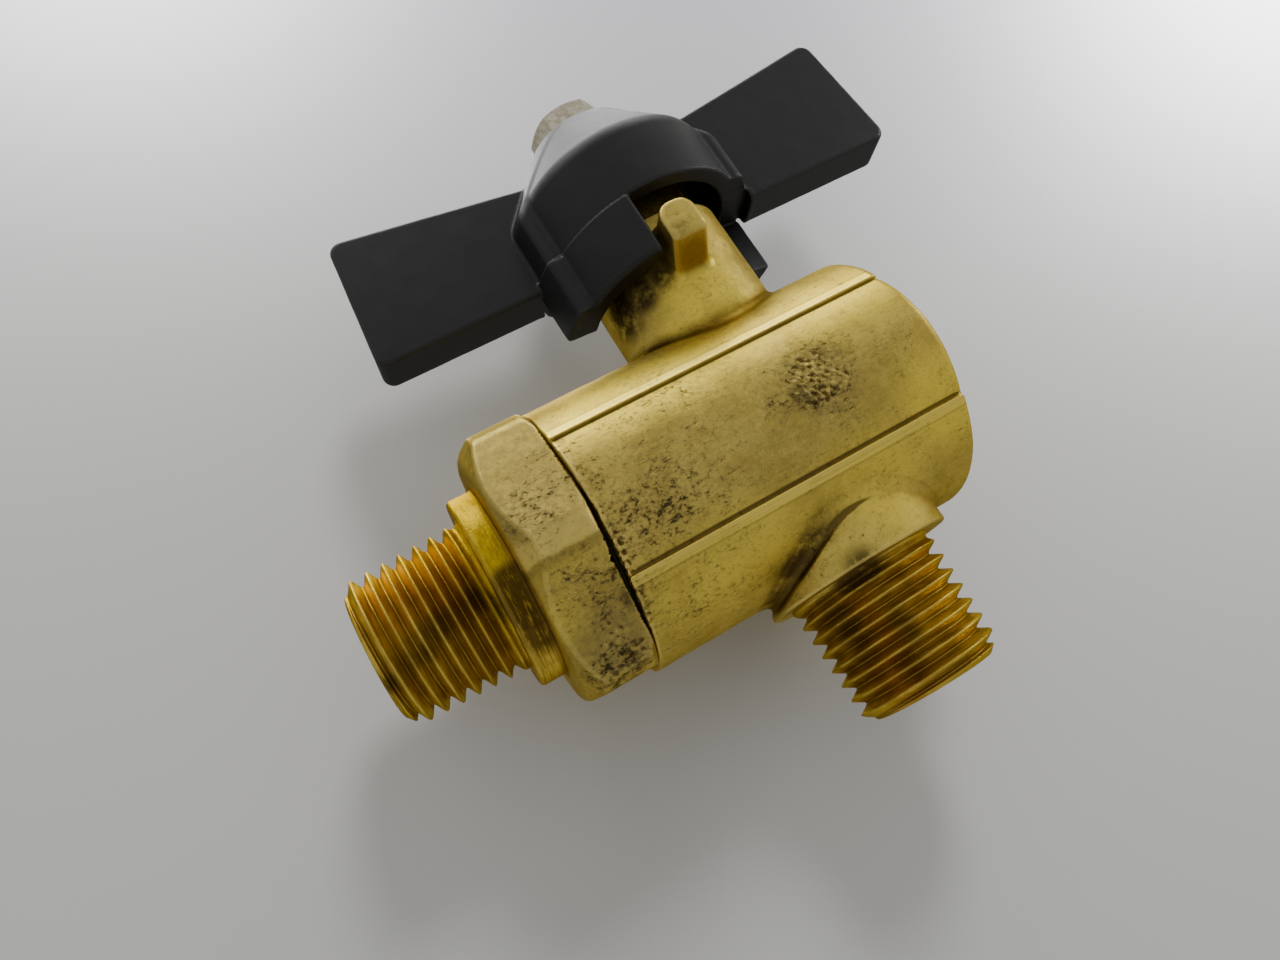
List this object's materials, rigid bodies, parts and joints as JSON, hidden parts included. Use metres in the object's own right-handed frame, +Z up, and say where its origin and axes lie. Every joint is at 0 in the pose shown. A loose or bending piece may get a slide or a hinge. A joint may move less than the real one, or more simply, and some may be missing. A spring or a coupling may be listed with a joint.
{
  "type": "ball valve",
  "caption": "Right-angle brass ball valve with two tapered male pipe ends, a spanner hexagon and a black quarter-turn wing handle",
  "frame": {"origin": "centre of the outlet end face", "axes": "+Z up along the outlet and the stem, the inlet points along -X, the stop lug on the neck faces -Y"},
  "size_m": [0.0661, 0.0254, 0.0636],
  "materials": {
    "forged_brass": "dull, blasted and scuffed",
    "machined_brass": "bright, machined, stained brown",
    "black_plastic": "matte, fine grain",
    "white_seal": "waxy",
    "black_rubber": "matte",
    "ball_chrome": "polished plating",
    "plated_steel": "pale plating, worn"
  },
  "bodies": {
    "valve_body": {"body": "forged_brass", "inlet_adapter": "forged_brass", "body_seal": "black_rubber", "inlet_seat": "white_seal", "rear_seat": "white_seal", "stem_packing": "white_seal", "packing_follower": "machined_brass", "gland_nut": "machined_brass"},
    "handle_stem": {"stem": "machined_brass", "thrust_washer": "white_seal", "lower_stem_o_ring": "black_rubber", "upper_stem_o_ring": "black_rubber", "handle": "black_plastic", "lock_washer": "plated_steel", "handle_screw": "plated_steel"},
    "ball_body": {"ball": "ball_chrome"}
  },
  "joints": [
    {"name": "handle_turn", "type": "hinge", "parent": "valve_body", "child": "handle_stem", "pos_m": [0, 0, 0.0246], "axis": [0, 0, 1], "range_deg": [-90, 0]},
    {"name": "ball_turn", "type": "hinge", "parent": "valve_body", "child": "ball_body", "pos_m": [0, 0, 0.0246], "axis": [0, 0, 1], "range_deg": [-90, 0]}
  ],
  "couplings": [
    {"joint": "ball_turn", "follows": "handle_turn", "ratio": 1}
  ]
}
